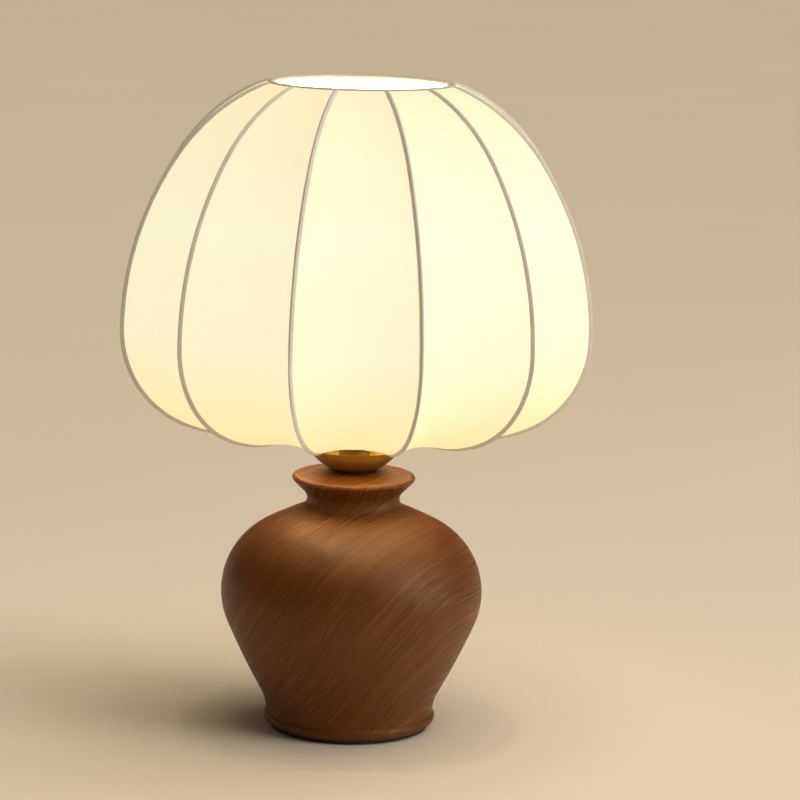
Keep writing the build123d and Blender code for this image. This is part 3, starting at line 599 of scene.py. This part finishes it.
for number in range(RIB_COUNT):
    azimuth = radians(FIRST_RIB + number * RIB_PITCH)
    before, after = gore_grids[number - 1], gore_grids[number]
    line, normals = meridian(CLOTH_INSET, SHARES)
    # Narrower and flatter towards both rings
    ends = np.clip(np.minimum(SHARES / TAPE_TOP_TAPER, (1 - SHARES) / TAPE_FOOT_TAPER), 0, 1) ** 0.7
    wobble = sum(
        random.uniform(0.005, 0.02) * np.sin(2 * pi * (random.uniform(3, 19) * SHARES + random.uniform(0, 1)))
        for _ in range(5)
    )
    sides = [
        from_rib(grid, side_at(grid, azimuth), TAPE_HALF_WIDTH * (0.75 + 0.25 * ends) * (1 + wobble * sign))
        for grid, sign in ((before, -1), (after, 1))
    ]
    rise = CLOTH_INSET * (0.30 + 0.70 * ends)
    # The top end goes under the ring's binding, the bottom end stops one row short of its ring
    loops = tape_loops(around(line, azimuth), around(normals, azimuth), sides, rise)[:-1]
    faces = [face[::-1] for face in loft_faces(*loops.shape[:2])]
    piece = add_piece(f"rib_tape_{number + 1:02d}", loops.reshape(-1, 3), faces, "shade", tape)
    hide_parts("rib_tapes")


BINDING_SECTION = 17


def binding_piece(name, node, centre, first, last, radius, thickness):
    """A narrow binding sewn over a ring: a band from one angle around the wire to another."""
    ripples = [
        (random.integers(20, 90), random.uniform(0, 2 * pi), random.uniform(0.01, 0.03)) for _ in range(6)
    ]

    def section(angle):
        """The band's loop around the wire at an angle around the lamp."""
        ripple = sum(size * sin(waves * angle + phase) for waves, phase, size in ripples)
        sweep = np.linspace(radians(first), radians(last), BINDING_SECTION)
        outer = (radius + thickness + ripple) * np.stack([np.cos(sweep), np.sin(sweep)], 1)
        inner = radius * np.stack([np.cos(sweep[::-1]), np.sin(sweep[::-1])], 1)
        return np.concatenate([outer, inner])

    piece = swept_ring(name, centre, section, "shade", binding)
    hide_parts(node)
    return piece


ring_centres, _ = meridian(WIRE_INSET, [0.0, 1.0])
cover = RING_RADIUS + CLOTH_THICKNESS + 0.12
top_binding = binding_piece("top_binding", "top_hem", ring_centres[0], 50, 200, cover, 0.40)
bottom_binding = binding_piece("bottom_binding", "bottom_hem", ring_centres[1], 215, 300, cover, 0.45)

for number, gore in enumerate(gores):
    grid = gore_grids[number]

# ---------------------------------------------------------------- bulb cap and screw shell threads

THREAD_PITCH = 3.629
THREAD_DEPTH = 0.42
THREAD_FADE = 2.2
RING_SPACING = 0.28
THREAD_SEGMENTS = 72
CAP_BARE_END = 3.0
CAP_WALL = 0.35
SHELL_INSET = 0.25
SHELL_WALL = 0.3


def tube_points(radii, angles, heights):
    """Points of a tube's rings, from a radius for each height and angle."""
    levels = np.broadcast_to(heights[:, None], radii.shape)
    return np.stack([radii * np.cos(angles), radii * np.sin(angles), levels], -1)


def threaded_piece(name, node, bottom, top, radius, wall, body, material):
    """A thin rolled tube with a round right-hand thread, plain at both ends."""
    heights = np.linspace(bottom, top, int((top - bottom) / RING_SPACING))
    angles = np.linspace(0, 2 * pi, THREAD_SEGMENTS, endpoint=False)
    fade = np.clip(np.minimum(heights - bottom, top - heights) / THREAD_FADE, 0, 1)[:, None]
    wave = np.cos(2 * pi * heights[:, None] / THREAD_PITCH - angles[None, :])
    surface = radius - THREAD_DEPTH + THREAD_DEPTH * wave * fade
    outside = tube_points(surface, angles, heights)
    inside = tube_points(surface - wall, angles, heights)
    loops = np.concatenate([outside, inside[::-1]])
    faces = loft_faces(*loops.shape[:2], closed_rows=True)
    piece = add_piece(name, loops.reshape(-1, 3), faces, body, material)
    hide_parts(node)


cap_low, cap_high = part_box("bulb_cap")
shell_low, shell_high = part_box("screw_shell")
threaded_piece(
    "bulb_cap_threaded",
    "bulb_cap",
    cap_low.z / MM + CAP_BARE_END,
    cap_high.z / MM,
    cap_high.x / MM,
    CAP_WALL,
    "bulb",
    nickel,
)
threaded_piece(
    "screw_shell_threaded",
    "screw_shell",
    shell_low.z / MM,
    shell_high.z / MM,
    shell_high.x / MM - SHELL_INSET,
    SHELL_WALL,
    "base",
    nickel,
)

# ---------------------------------------------------------------- floor and light


FLOOR_HALF = 14.0


def floor_material():
    """Plain pale floor with a barely uneven tone."""
    material, tree, shader = new_material("floor")
    tone = noise(tree, place(tree), 3.0, 4.0)
    link(tree, blend(tree, tone, (0.80, 0.70, 0.57), (0.84, 0.74, 0.61)), shader, "Base Color")
    shader.inputs["Roughness"].default_value = 0.75
    return material


floor_mesh = bpy.data.meshes.new("floor")
corners = [(FLOOR_HALF * x, FLOOR_HALF * y, 0) for x, y in ((-1, -1), (1, -1), (1, 1), (-1, 1))]
floor_mesh.from_pydata(corners, [], [(0, 1, 2, 3)])
floor_mesh.materials.append(floor_material())
floor = bpy.data.objects.new("floor", floor_mesh)
scene.collection.objects.link(floor)

world = bpy.data.worlds.new("studio")
world.use_nodes = True
sky = world.node_tree.nodes["Background"]
sky.inputs["Color"].default_value = (0.92, 0.76, 0.56, 1.0)
sky.inputs["Strength"].default_value = 0.13
scene.world = world


def new_light(name, kind, power, colour):
    """A light in the scene."""
    data = bpy.data.lights.new(name, kind)
    data.energy = power
    data.color = colour
    light = bpy.data.objects.new(name, data)
    scene.collection.objects.link(light)
    return light


KEY_PLACE = Vector((1.95, -0.85, 0.85))
KEY_AIM = Vector((0.0, 0.0, 0.10))

key = new_light("key", "AREA", 22.0, (1.0, 0.95, 0.93))
key.data.shape = "RECTANGLE"
key.data.size, key.data.size_y = 1.15, 0.95
key_turn = (KEY_AIM - KEY_PLACE).to_track_quat("-Z", "Y").to_matrix().to_4x4()
key.matrix_world = Matrix.Translation(KEY_PLACE) @ key_turn

overhead = new_light("overhead", "SUN", 1.9, (1.0, 0.90, 0.76))
overhead.data.angle = radians(60)
overhead.rotation_euler = (radians(2), radians(14), 0.0)
